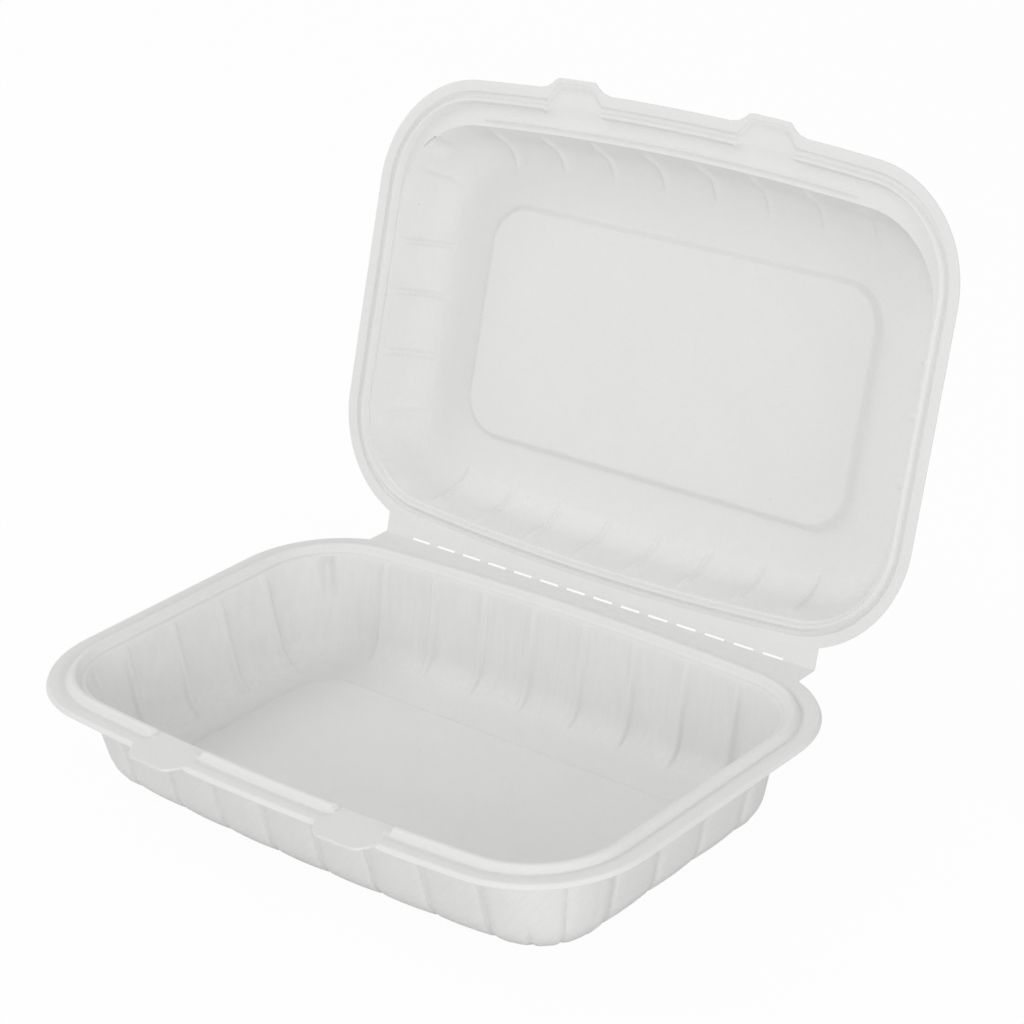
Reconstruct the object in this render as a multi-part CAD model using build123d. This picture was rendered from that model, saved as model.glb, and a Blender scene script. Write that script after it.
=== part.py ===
from build123d import *
from math import asin, atan2, cos, degrees, radians, sin, sqrt, tan
import os

# Sheet, overrun of cuts and room at the fold
tray_sheet = 0.85
lid_sheet = 0.4
cut_overrun = 5.0
fold_clearance = 0.05
rib_seat_share = 0.45
foot_facets = 3
corner_facets = 9

# Outline of the rim, seen from above
rim_length = 230.0
rim_width = 158.0
rim_corner_radius = 38.5
long_side_radius = 1000.0

# Tray: heights are from the rim plane, insets are from the edge of its lip
tray_depth = 36.0
tray_draft = 12.5
tray_foot_radius = 11.0
tray_lip_drop = 1.3
tray_lip_edge_inset = 0.6
tray_lip_height = 0.2
tray_lip_inset = 3.9
tray_channel_inset = 6.5
tray_channel_drop = 0.6
tray_bead_outer_inset = 7.8
tray_bead_height = 1.9
tray_bead_inner_inset = 9.5
tray_bead_inner_foot = 10.6
tray_ledge_drop = 0.7
tray_ledge_inset = 12.4
tray_panel_length = 163.6
tray_panel_width = 74.2
tray_panel_corner_radius = 14.0
tray_panel_rise = 1.0
tray_panel_slope = 1.2

# Lid, as it lies open flat beside the tray: insets are from the edge of the tray's lip
lid_depth = 21.5
lid_draft = 20.0
lid_foot_radius = 15.0
lid_overhang = 1.1
lid_lip_height = 0.2
lid_lip_inset = 2.6
lid_groove_outer_inset = 3.0
lid_groove_inner_inset = 4.2
lid_groove_drop = 0.8
lid_crest_outer_inset = 5.1
lid_crest_inset = 5.9
lid_crest_height = 0.7
lid_panel_length = 155.6
lid_panel_width = 77.6
lid_panel_corner_radius = 13.0
lid_panel_rise = 2.0
lid_panel_slope = 2.0

# Ledge inside the lid's rim, widened to a shelf along the front with a low ridge on it
lid_ledge_width = 0.8
shelf_width = 6.5
shelf_drop = 1.5
ridge_inset = 11.7
ridge_width = 1.8
ridge_height = 0.8

# Ribs pressed into the walls
rib_width = 4.4
rib_depth = 1.4
rib_pitch = 21.4
rib_fade = 0.15
tray_rib_drop = 1.8
lid_rib_drop = 4.0
long_side_ribs = 8
tray_short_side_ribs = 4
lid_short_side_ribs = 3

# Stacking lug in one corner of each half
lug_radius = 2.8
lug_sink_share = 0.5
tray_lug_height = 12.0
lid_lug_height = 8.0
lug_angle = 45.0

# Tabs on the tray's front edge
tab_spacing = 77.0
tab_root_width = 24.0
tab_end_width = 16.5
tab_reach = 5.0
tab_corner_radius = 2.0
tab_bead_gap = 21.5

# Latch pockets in the lid's front edge, over the tabs
pocket_lip_root_width = 29.0
pocket_lip_end_width = 17.0
pocket_reach = 4.8
pocket_lip = 1.8
pocket_end_width = 14.5
pocket_root_width = 22.6

# Fold between the halves
fold_offset = 2.5
fold_height = 0.35
web_length = 180.0
web_seat_inset = 1.5
slot_count = 14
slot_pitch = 11.4
slot_length = 8.0
slot_width = 1.3
open_angle = 107.5

half_width = rim_width / 2
half_length = rim_length / 2
corner_x = half_length - rim_corner_radius
fold_y = half_width + fold_offset
lid_ledge_inset = lid_crest_inset + (lid_crest_height + shelf_drop) * tan(radians(lid_draft))


def side_centre(shelf=0.0):
    """Distance from the middle of the rim to the centre of a long side's arc, on the far side."""
    return long_side_radius - half_width + shelf


def corner_y(shelf=0.0):
    """Distance from the middle of the rim to the centre of a corner, across the rim."""
    return sqrt((long_side_radius - rim_corner_radius) ** 2 - corner_x**2) - side_centre(shelf)


def half_outline(inset, side, shelf=0.0):
    """Points of one half of the outline, front (-1) or back (1), from its right end to its left end.

    The long side is bowed in flat panels that meet at the ribs, and the corners are turned in flat facets."""
    arc_centre = Vector(0, -side * side_centre(shelf))
    centre = Vector(corner_x, side * corner_y(shelf))
    reach = (centre - arc_centre).normalized()
    corner_turn = degrees(atan2(abs(reach.Y), reach.X))
    right = []
    for index in range(corner_facets + 1):
        angle = radians(corner_turn * index / corner_facets)
        direction = Vector(cos(angle), side * sin(angle))
        right.append(centre + direction * (rim_corner_radius - inset))
    for x in row(long_side_ribs, rib_pitch)[long_side_ribs // 2 :][::-1]:
        share = x / long_side_radius
        direction = Vector(share, side * sqrt(1 - share**2))
        right.append(arc_centre + direction * (long_side_radius - inset))
    return right + [Vector(-point.X, point.Y) for point in reversed(right)]


def outline(inset, height=0.0, shelf=0.0):
    """Face of the outline at an inset and a height; the front side lies in by the shelf as well."""
    points = [*half_outline(inset, 1), *reversed(half_outline(inset, -1, shelf))]
    return Pos(0, 0, height) * make_face(Polyline(*points, close=True))


def row(count, pitch):
    """Places of a row about its middle."""
    return [(index - (count - 1) / 2) * pitch for index in range(count)]


def below(points, thickness):
    """The line of points moved to its lower side by a thickness, with mitred corners."""
    moved = []
    for index, (x, y) in enumerate(points):
        normals = []
        for start in (index - 1, index):
            if 0 <= start < len(points) - 1:
                along = Vector(*points[start + 1]) - Vector(*points[start])
                normals.append(Vector(along.Y, -along.X).normalized())
        middle = (normals[0] + normals[-1]).normalized()
        step = middle * (thickness / middle.dot(normals[0]))
        moved.append((x + step.X, y + step.Y))
    return moved


def upright(face, x=0.0):
    """A face drawn in inset and height, stood across the middle of the front side."""
    stand = Plane((x, -half_width, 0), x_dir=(0, 1, 0), z_dir=(1, 0, 0))
    return (stand * face).face()


def foot(inset, floor, draft, radius):
    """Points of inset and height round the foot of a wall, down to the floor, in flat facets."""
    corner = inset - floor * tan(radians(draft))
    centre_inset = corner + radius * tan(radians(90 - draft) / 2)
    points = []
    for index in range(foot_facets + 1):
        angle = radians(180 + draft + (90 - draft) * index / foot_facets)
        points.append((centre_inset + radius * cos(angle), floor + radius + radius * sin(angle)))
    return points


def formed_shell(rim, wall, shelf, sheet):
    """Sheet that follows points of inset and height: a rim from its lip, then a wall that has the shelf.

    It is one loft, from the floor's upper face over the rim to the floor's lower face.
    The lines of the wall's two sides come with it."""
    upper = [*rim, *wall]
    lower = below(upper, sheet)
    lower[-1] = (upper[-1][0], upper[-1][1] - sheet)
    shelves = [0.0] * len(rim) + [shelf] * len(wall)
    levels = [*zip(reversed(upper), reversed(shelves)), *zip(lower, shelves)]
    shell = loft([outline(inset, height, step) for (inset, height), step in levels], ruled=True)
    return shell, upper[len(rim) :], lower[len(rim) :]


def end_plug(points, floor, x, sheet):
    """Filling of the rim's section down to a floor, from x outwards."""
    shape = [*points, (points[-1][0], floor), (points[0][0], floor)]
    face = upright(make_face(Polyline(*shape, close=True)), x)
    return Solid.extrude(face, Vector(sheet if x > 0 else -sheet, 0, 0))


def rib_line(wall, top, shift=(0.0, 0.0)):
    """A wall's line of points from a height down to the floor."""
    (inset, height), (next_inset, next_height) = wall[0], wall[1]
    share = (height - top) / (height - next_height)
    line = [(inset + (next_inset - inset) * share, top), *wall[1:]]
    return [Vector(*point) + Vector(*shift) for point in line]


def wall_groove(wall, top):
    """Cutter for the outside of a rib: the space outside the wall, drawn in towards the rib's middle."""
    line = rib_line(wall, top, (0.0, -rib_fade))
    outside = line[0].X - cut_overrun
    under = line[-1].Y - cut_overrun
    frame = [Vector(line[-1].X, under), Vector(outside, under), Vector(outside, line[0].Y)]
    face = upright(make_face(Polyline(*line, *frame, close=True)), -rib_width / 2)
    half = Solid.extrude(face, Vector(rib_width / 2, rib_depth, 0))
    return half + mirror(half, Plane.YZ)


def wall_ridge(wall, top, seat):
    """Inside of a rib: a ridge on the wall that is highest in its middle and fades out in the floor."""
    back = rib_line(wall, top, (-seat, -seat - rib_fade))
    back[0] = Vector(back[0].X, top - rib_fade)
    levels = []
    for x, rise in ((-rib_width / 2, 0.0), (0.0, rib_depth)):
        line = rib_line(wall, top, (rise, -rib_fade))
        levels.append(upright(make_face(Polyline(*line, *reversed(back), close=True)), x))
    half = loft(levels, ruled=True)
    return half + mirror(half, Plane.YZ)


def on_front(tool, x, shelf=0.0):
    """A tool made at the middle of the front, moved along the front to x and in by the shelf."""
    turn = degrees(asin(x / long_side_radius))
    return Pos(0, side_centre(shelf), 0) * Rot(0, 0, turn) * Pos(0, -side_centre(), 0) * tool


def on_back(tool, x):
    """A tool made at the middle of the front, moved to the back."""
    return Rot(0, 0, 180) * on_front(tool, -x)


def on_short_side(tool, y, side):
    """A tool made at the middle of the front, moved to the right (1) or left (-1) short side."""
    return Rot(0, 0, 90 * side) * Pos(y * side, half_width - half_length, 0) * tool


def on_corner(tool, angle, side, end, shelf=0.0):
    """A tool made at the middle of the front, moved to a front (-1) or back (1) corner, at an angle."""
    middle = Pos(side * corner_x, end * corner_y(shelf), 0)
    turn = side * (90 - angle)
    spun = Rot(0, 0, turn if end < 0 else 180 - turn)
    return middle * spun * Pos(0, half_width - rim_corner_radius, 0) * tool


def frustum(length, width, radius, rise, slope, base, overrun):
    """Block with sloped sides on a rounded rectangle, carried on below its base."""
    more = slope * (1 + overrun / rise)
    foot = Pos(0, 0, base - overrun) * RectangleRounded(length + 2 * more, width + 2 * more, radius + more)
    return loft([foot, Pos(0, 0, base + rise) * RectangleRounded(length, width, radius)], ruled=True)


def fold_web(sheet, lip_height, lip_edge):
    """Flat strip between the back lip and the fold, with its half of the slots."""
    fold_edge = fold_y - fold_clearance
    strip = Pos(0, fold_edge / 2) * Rectangle(web_length, fold_edge) - outline(lip_edge + web_seat_inset)
    for x in row(slot_count, slot_pitch):
        strip -= Pos(x, fold_y) * Rectangle(slot_length, slot_width)
    return extrude(Pos(0, 0, lip_height) * strip.faces().sort_by(Axis.Y)[-1], -sheet)


def tongue(root_width, end_width, root, reach, seat, top, bottom, radius):
    """Plate with tapered sides that stands out of the front edge; insets are from the tray's lip."""
    front = -half_width
    corners = [
        (-root_width / 2, front + seat),
        (-root_width / 2, front + root),
        (-end_width / 2, front - reach),
        (end_width / 2, front - reach),
        (root_width / 2, front + root),
        (root_width / 2, front + seat),
    ]
    plate = extrude(Pos(0, 0, bottom) * make_face(Polyline(*corners, close=True)), top - bottom)
    if radius:
        plate = fillet(plate.edges().filter_by(Axis.Z).group_by(Axis.Y)[0], radius)
    return plate


def box(width, near, far, bottom, top):
    """Block at the middle of the front, between two insets and two heights."""
    middle = Pos(0, (near + far) / 2 - half_width, (bottom + top) / 2)
    return middle * Box(width, far - near, top - bottom)


def lug(inset, height, top, sheet):
    """Cutter and case of an upright round recess that is pushed out of a wall, below its top."""
    middle = Pos(0, inset + lug_radius * lug_sink_share - half_width, top - height)
    void = middle * extrude(Circle(lug_radius), height + cut_overrun)
    case = middle * Pos(0, 0, -sheet) * extrude(Circle(lug_radius + sheet), height + sheet)
    return void, case


tray_rim = [
    (0.0, -tray_lip_drop),
    (tray_lip_edge_inset, tray_lip_height),
    (tray_lip_inset, tray_lip_height),
    (tray_channel_inset, -tray_channel_drop),
    (tray_bead_outer_inset, tray_bead_height),
    (tray_bead_inner_inset, tray_bead_height),
    (tray_bead_inner_foot, -tray_ledge_drop),
]

lid_rim = [
    (-lid_overhang, lid_lip_height),
    (lid_lip_inset, lid_lip_height),
    (lid_groove_outer_inset, -lid_groove_drop),
    (lid_groove_inner_inset, -lid_groove_drop),
    (lid_crest_outer_inset, lid_crest_height),
    (lid_crest_inset, lid_crest_height),
]


def tray_tab():
    """Cutter and filling of one tab at the middle of the front."""
    under = -tray_ledge_drop - tray_sheet
    end = (tray_bead_inner_foot + tray_ledge_inset) / 2
    cutter = box(tab_bead_gap, tray_lip_inset, end - tray_sheet / 2, -cut_overrun, cut_overrun)
    plate = box(tab_bead_gap, tray_lip_edge_inset, end, tray_lip_height - tray_sheet, tray_lip_height)
    inner_end = box(tab_bead_gap, end - tray_sheet, end, under, tray_lip_height)
    tip = tongue(
        tab_root_width, tab_end_width, 0.0, tab_reach, tray_lip_inset,
        tray_lip_height, tray_lip_height - tray_sheet, tab_corner_radius,
    )
    plugs = [end_plug(tray_rim[2:], under, side * tab_bead_gap / 2, tray_sheet) for side in (-1, 1)]
    return cutter, [plate, inner_end, tip, *plugs]


def shelf_ridge():
    """Ridge along the shelf at the lid's front, and the groove under it, from the first rib to the last."""
    near, far = ridge_inset - ridge_width / 2, ridge_inset + ridge_width / 2
    seat = -lid_sheet / 2
    shape = [(near, seat), (near, 0.0), (ridge_inset, ridge_height), (far, 0.0), (far, seat)]
    bars = []
    for drop in (shelf_drop, shelf_drop + lid_sheet):
        face = Pos(0, 0, -drop) * upright(make_face(Polyline(*shape, close=True)))
        bars.append(loft([on_front(face, x) for x in row(long_side_ribs, rib_pitch)], ruled=True))
    return bars


def lid_pocket():
    """Cutter and filling of one latch pocket at the middle of the front."""
    under = -shelf_drop - lid_sheet
    inner = lid_ledge_inset + lid_ledge_width / 4
    void = tongue(
        pocket_root_width, pocket_end_width, 0.0, pocket_reach - pocket_lip, inner,
        cut_overrun, -shelf_drop, tab_corner_radius,
    )
    case = tongue(
        pocket_root_width + 2 * lid_sheet, pocket_end_width + 2 * lid_sheet, 0.0,
        pocket_reach - pocket_lip + lid_sheet, inner, lid_lip_height, under, tab_corner_radius + lid_sheet,
    )
    tip = tongue(
        pocket_lip_root_width, pocket_lip_end_width, -lid_overhang, pocket_reach, lid_lip_inset,
        lid_lip_height, lid_lip_height - lid_sheet, tab_corner_radius,
    )
    plugs = [end_plug(lid_rim[1:], under, side * pocket_root_width / 2, lid_sheet) for side in (-1, 1)]
    return void, [case, tip, *plugs]


def make_tray():
    """The lower half, with the rim plane at height zero."""
    floor = -tray_depth + tray_sheet
    wall_inset = tray_ledge_inset - tray_ledge_drop * tan(radians(tray_draft))
    wall = [(tray_ledge_inset, -tray_ledge_drop), *foot(wall_inset, floor, tray_draft, tray_foot_radius)]
    body, inside, outside = formed_shell(tray_rim, wall, 0.0, tray_sheet)

    rib_top = -tray_ledge_drop - tray_rib_drop
    ridge = wall_ridge(inside, rib_top, rib_seat_share * tray_sheet)
    groove = wall_groove(outside, rib_top - tray_sheet)
    ridges, grooves = [], []
    for tool, tools in ((ridge, ridges), (groove, grooves)):
        for x in row(long_side_ribs, rib_pitch):
            tools += [on_front(tool, x), on_back(tool, x)]
        for side in (-1, 1):
            tools += [on_short_side(tool, y, side) for y in row(tray_short_side_ribs, rib_pitch)]
    body = body + ridges - grooves
    void, case = lug(tray_ledge_inset, tray_lug_height, -tray_ledge_drop, tray_sheet)
    body = body + on_corner(case, lug_angle, -1, 1) - on_corner(void, lug_angle, -1, 1)

    panel = (tray_panel_length, tray_panel_width, tray_panel_corner_radius, tray_panel_rise, tray_panel_slope)
    body += frustum(*panel, floor, tray_sheet / 2)
    body -= frustum(*panel, -tray_depth, cut_overrun)
    cutter, filling = tray_tab()
    for x in row(2, tab_spacing):
        body = body - on_front(cutter, x) + [on_front(piece, x) for piece in filling]
    body += fold_web(tray_sheet, tray_lip_height, 0.0)
    return Pos(0, 0, tray_depth) * body


def make_lid():
    """The upper half, open flat, with its front towards -Y and the rim plane at height zero."""
    slope = tan(radians(lid_draft))
    floor = -lid_depth + lid_sheet
    ledge_end = lid_ledge_inset + lid_ledge_width
    rim = [*lid_rim, (lid_ledge_inset, -shelf_drop)]
    wall = [(ledge_end, -shelf_drop), *foot(ledge_end - shelf_drop * slope, floor, lid_draft, lid_foot_radius)]
    body, inside, outside = formed_shell(rim, wall, shelf_width, lid_sheet)

    ridge = wall_ridge(inside, -lid_rib_drop, rib_seat_share * lid_sheet)
    groove = wall_groove(outside, -lid_rib_drop - lid_sheet)
    ridges, grooves = [], []
    for tool, tools in ((ridge, ridges), (groove, grooves)):
        for x in row(long_side_ribs, rib_pitch):
            tools += [on_front(tool, x, shelf_width), on_back(tool, x)]
        for side in (-1, 1):
            tools += [on_short_side(tool, y, side) for y in row(lid_short_side_ribs, rib_pitch)]
    body = body + ridges - grooves
    void, case = lug(ledge_end, lid_lug_height, -shelf_drop, lid_sheet)
    body += on_corner(case, lug_angle, 1, -1, shelf_width)
    body -= on_corner(void, lug_angle, 1, -1, shelf_width)

    panel = (lid_panel_length, lid_panel_width, lid_panel_corner_radius, lid_panel_rise, lid_panel_slope)
    middle = Pos(0, shelf_width / 2, 0)
    body += middle * frustum(*panel, floor, lid_sheet / 2)
    body -= middle * frustum(*panel, -lid_depth, cut_overrun)
    ridge, groove = shelf_ridge()
    body = body + ridge - groove
    void, filling = lid_pocket()
    for x in row(2, tab_spacing):
        body = body + [on_front(piece, x) for piece in filling] - on_front(void, x)
    body += fold_web(lid_sheet, lid_lip_height, -lid_overhang)
    return Pos(0, 0, tray_depth) * body


def opened(lid):
    """The flat lid, turned up about the fold to its open angle."""
    flat = Pos(0, 2 * fold_y, 0) * Rot(0, 0, 180) * lid
    return flat.rotate(Axis((0, fold_y, tray_depth + fold_height), (1, 0, 0)), 180 - open_angle)


os.makedirs("parts", exist_ok=True)
for name, part in (("tray", make_tray()), ("lid", opened(make_lid()))):
    print(name, part.is_valid, len(part.solids()), part.volume)
    export_step(part, f"parts/{name}.step")
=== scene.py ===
import math
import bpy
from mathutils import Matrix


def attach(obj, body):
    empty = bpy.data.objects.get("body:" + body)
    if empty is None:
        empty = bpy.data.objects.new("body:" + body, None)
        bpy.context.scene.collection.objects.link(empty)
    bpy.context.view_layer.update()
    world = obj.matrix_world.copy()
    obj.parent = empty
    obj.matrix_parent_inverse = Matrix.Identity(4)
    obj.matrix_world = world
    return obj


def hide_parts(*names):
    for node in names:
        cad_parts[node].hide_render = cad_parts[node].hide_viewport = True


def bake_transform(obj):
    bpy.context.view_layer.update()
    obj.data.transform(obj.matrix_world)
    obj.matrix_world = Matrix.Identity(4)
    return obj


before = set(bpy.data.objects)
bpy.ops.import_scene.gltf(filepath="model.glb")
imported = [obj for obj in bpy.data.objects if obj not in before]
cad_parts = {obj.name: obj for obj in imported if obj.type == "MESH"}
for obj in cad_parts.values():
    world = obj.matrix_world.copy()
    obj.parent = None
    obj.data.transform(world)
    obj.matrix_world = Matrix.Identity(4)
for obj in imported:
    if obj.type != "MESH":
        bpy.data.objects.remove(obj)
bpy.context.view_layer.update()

from types import SimpleNamespace

import bpy
from mathutils import Matrix, Vector

bl_info = {
    "name": "Clamshell container",
    "version": (1, 0, 0),
    "blender": (4, 5, 0),
    "location": "3D View > Sidebar > Clamshell",
    "description": "Formed shells, fold strip, finish and studio of a hinged-lid food container",
    "category": "Object",
}

# Sections and places are in millimetres and turns in degrees, meshes are in metres
MM = 1000

# Rim sections: inset from the tray's lip, height over the rim plane and rounding
TRAY_RIM = (
    (0.0, -1.3, 0.0),
    (0.6, 0.2, 0.55),
    (3.9, 0.2, 0.9),
    (6.5, -0.6, 0.5),
    (7.7, 1.9, 0.75),
    (9.6, 1.9, 0.75),
    (10.6, -0.7, 0.5),
    (12.4, -0.7, 0.45),
)
LID_RIM = (
    (-1.1, 0.2, 0.0),
    (2.6, 0.2, 0.4),
    (3.0, -0.8, 0.3),
    (4.2, -0.8, 0.3),
    (5.1, 0.7, 0.35),
    (5.9, 0.7, 0.35),
    (6.7, -1.5, 0.08),
)
LIP_TOP = 0.2
LIP_INSET = 0.6

# Shelf inside the lid's rim, with the rows across it and the low ridge along its front
LID_SHELF_START = 6.7
LID_SHELF_END = 7.5
LID_SHELF_DROP = 1.5
LID_SHELF_SHARES = (0.12, 0.3, 0.46, 0.56, 0.6, 0.645, 0.685, 0.725, 0.77, 0.81, 0.88, 0.95)
SHELF_RIDGE_INSET = 11.7
SHELF_RIDGE_HALF = 0.95
SHELF_RIDGE_HEIGHT = 0.8
SHELF_RIDGE_END = 76.5
SHELF_RIDGE_EASE = 2.0

# Floor panels: length, width and corner radius, and the section over their edge
TRAY_PANEL = (163.6, 74.2, 14.0)
TRAY_PANEL_EDGE = ((2.4, 0.0, 0.0), (1.2, 0.0, 0.45), (0.0, 1.0, 0.45), (-1.6, 1.0, 0.0))
LID_PANEL = (155.6, 77.6, 13.0)
LID_PANEL_EDGE = ((3.6, 0.0, 0.0), (2.0, 0.0, 0.7), (0.0, 2.0, 0.7), (-1.6, 2.0, 0.0))
PANEL_ROW_STEP = 0.5

# Rows down the walls
TRAY_WALL_STEP = 2.6
LID_WALL_STEP = 1.6
FLOOR_RUN = 0.6
PLAIN_FOOT_ROWS = 3

# Ribs: how many, how far apart the section is set down at them, and their height across
LONG_RIBS = 8
TRAY_SHORT_RIBS = 4
LID_SHORT_RIBS = 3
RIB_MARKS = (-1.25, -1.0, -0.7, -0.35, 0.0, 0.35, 0.7, 1.0, 1.25)
RIB_CREST = ((0.0, 1.0), (0.35, 0.86), (0.7, 0.3), (1.0, 0.06), (1.25, 0.0))
RIB_FLAT = ((0.0, 1.0), (0.7, 0.94), (1.0, 0.12), (1.25, 0.0))
RIB_FLAT_SHARE = 0.72
CLOSEST_MARKS = 0.18
WIDEST_MARKS = 2.4
CORNER_STEPS = 30

# Height of the relief on a wall: start under the rim plane, fade below it, fade over the floor
TRAY_RIB_SPAN = (2.2, 2.2, 2.0)
TRAY_BULGE_SPAN = (1.0, 12.0, 2.5)
TRAY_NOTCH_SPAN = (24.0, 5.0, 2.0)
LID_RIB_SPAN = (3.6, 2.4, 1.6)
LID_BULGE_SPAN = (1.5, 7.0, 6.0)
LID_BULGE_SHARE = 0.3

# Corner ribs and lugs: turns from the short side
TRAY_CORNER_RIB = 31.0
TRAY_CORNER_NOTCH = 62.0
LID_FRONT_CORNER_RIB = 26.0
LID_BACK_CORNER_RIB = 13.0
LUG_TURN = 45.0
LUG_HALF = 2.8
LUG_EDGE = 1.2
TRAY_LUG_TAPER = 0.09
TRAY_LUG_TOP = 1.0
TRAY_LUG_FOOT = 13.5
TRAY_LUG_DEPTH = 2.0
LID_LUG_FOOT = 10.0
LID_LUG_DEPTH = 1.6

# Tray tabs: distance from a tab's middle and the inset of its edge there, and the gap in the bead
TAB_EDGE = ((6.0, -5.0), (7.0, -4.9), (7.8, -4.6), (8.5, -4.0), (8.9, -3.4), (12.0, 0.0))
TAB_MARKS = (6.0, 7.0, 7.8, 8.5, 8.9, 10.75, 11.6, 12.0)
TAB_ROOT = 3.2
TAB_EASE = 0.6
BEAD_GAP = ((10.75, 1.0), (11.6, 0.0))
BEAD_END = 10.3
BEAD_FOOT = (8.6, 10.9)
BEAD_FOOT_RUN = 1.0
BEAD_FOOT_SHIFT = 0.85

# Lid pockets: insets of their outer and inner edges, and how they sink towards the shelf
POCKET_EDGE = (
    (6.4, -4.8),
    (7.0, -4.75),
    (7.6, -4.6),
    (8.6, -4.0),
    (9.2, -3.3),
    (11.3, -1.9),
    (11.7, -1.72),
    (14.5, -1.1),
)
POCKET_MARKS = tuple(gap for gap, inset in POCKET_EDGE)
POCKET_INNER = ((6.4, -3.0), (7.0, -2.8), (7.5, -2.3), (11.3, 2.4))
POCKET_FADE = ((11.3, 1.0), (11.7, 0.0))
POCKET_SUNK = ((0.0, 0.2), (0.1, -0.1), (0.22, -0.7), (0.34, -0.9), (0.8, -0.9), (1.0, -1.5))
POCKET_ROOT = 2.7
POCKET_FLANGE = 2.6

# Fold strip and its row of slots
WEB_HALF = 91.0
WEB_EASE = 3.0
STRIP_LENGTH = 180.0
STRIP_WIDTH = 6.0
STRIP_TOP = 0.12
STRIP_SHEET = 0.28
STRIP_BORDER = 2.9
STRIP_OVER_TRAY = 1.5
STRIP_OVER_LID = 0.4
SLOT_COUNT = 14
SLOT_PITCH = 11.4
SLOT_HALF_LENGTH = 4.0
SLOT_HALF_WIDTH = 0.32
STRIP_CUTS = (-SLOT_HALF_WIDTH, -0.2, -0.1, 0.0, 0.1, 0.2, SLOT_HALF_WIDTH)
BEND_HALF = 0.3

# Mesh work: spin turns clockwise for a positive angle
SPIN_SIGN = -1.0
MERGE_GAP = 0.000005
SMOOTH_ANGLE = math.radians(50)
GROUP_BASICS = {"rna_type", "name"}

# Camera of the photograph: a fit to its outlines
CAMERA_TURNS = (41.199, 25.415, -2.619)
CAMERA_TARGET = (0.0, 0.040, 0.066)
CAMERA_DISTANCE = 0.9194
CAMERA_SHIFT = (0.0079, 0.0461)
FOCAL_PIXELS = 2907.7
IMAGE_PIXELS = 1024.0
SENSOR_WIDTH = 36.0

# Soft lights: name, place, size and power
LIGHT_AIM = (0.0, 0.03, 0.06)
LIGHTS = (
    ("left_light", (-1.3, -0.35, 1.15), 0.8, 6.0),
    ("top_light", (-0.15, 0.15, 1.7), 1.5, 1.5),
    ("front_light", (0.6, -1.5, 0.45), 0.9, 6.6),
    ("right_light", (1.6, -0.25, 0.42), 0.8, 4.7),
)
SKY_LIGHT = 0.60
SKY_SEEN = 1.0


class ClamshellSizes(bpy.types.PropertyGroup):
    """Sizes of the two halves, as a maker's drawing gives them."""

    length: bpy.props.FloatProperty(
        name="Rim length", description="Length of the tray's rim", default=0.230, subtype="DISTANCE"
    )
    width: bpy.props.FloatProperty(
        name="Rim width", description="Width of the tray's rim", default=0.158, subtype="DISTANCE"
    )
    corner: bpy.props.FloatProperty(
        name="Corner radius", description="Radius of the rim's corners", default=0.0385, subtype="DISTANCE"
    )
    bow: bpy.props.FloatProperty(
        name="Side radius", description="Radius of the bowed long sides", default=1.0, subtype="DISTANCE"
    )
    depth: bpy.props.FloatProperty(
        name="Tray depth", description="Ground to the rim plane", default=0.036, subtype="DISTANCE"
    )
    tray_sheet: bpy.props.FloatProperty(
        name="Tray sheet", description="Thickness of the tray", default=0.00085, subtype="DISTANCE"
    )
    tray_draft: bpy.props.FloatProperty(
        name="Tray draft", description="Lean of the tray's walls", default=math.radians(12.5), subtype="ANGLE"
    )
    tray_foot: bpy.props.FloatProperty(
        name="Tray foot", description="Rounding of the tray's foot", default=0.011, subtype="DISTANCE"
    )
    lid_depth: bpy.props.FloatProperty(
        name="Lid depth", description="Rim plane to the lid's top", default=0.0212, subtype="DISTANCE"
    )
    lid_sheet: bpy.props.FloatProperty(
        name="Lid sheet", description="Thickness of the lid", default=0.0004, subtype="DISTANCE"
    )
    lid_draft: bpy.props.FloatProperty(
        name="Lid draft", description="Lean of the lid's walls", default=math.radians(20.0), subtype="ANGLE"
    )
    lid_foot: bpy.props.FloatProperty(
        name="Lid rounding", description="Rounding at the lid's top", default=0.016, subtype="DISTANCE"
    )
    shelf: bpy.props.FloatProperty(
        name="Shelf", description="Width of the shelf at the lid's front", default=0.0065, subtype="DISTANCE"
    )
    rib_pitch: bpy.props.FloatProperty(
        name="Rib pitch", description="Distance from rib to rib", default=0.0214, subtype="DISTANCE"
    )
    rib_depth: bpy.props.FloatProperty(
        name="Rib depth", description="Height of a rib", default=0.0011, subtype="DISTANCE"
    )
    rib_half: bpy.props.FloatProperty(
        name="Rib half width", description="Half the width of a rib", default=0.0016, subtype="DISTANCE"
    )
    bulge: bpy.props.FloatProperty(
        name="Panel bulge", description="Bulge of the panels between ribs", default=0.0005, subtype="DISTANCE"
    )
    tab_spacing: bpy.props.FloatProperty(
        name="Tab spacing", description="Distance between the tabs", default=0.077, subtype="DISTANCE"
    )
    fold_offset: bpy.props.FloatProperty(
        name="Fold offset", description="Back lip to the fold", default=0.0025, subtype="DISTANCE"
    )
    fold_height: bpy.props.FloatProperty(
        name="Fold height", description="Fold over the rim plane", default=0.00035, subtype="DISTANCE"
    )
    open_angle: bpy.props.FloatProperty(
        name="Open angle", description="Angle of the open lid", default=math.radians(107.5), subtype="ANGLE"
    )


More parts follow.
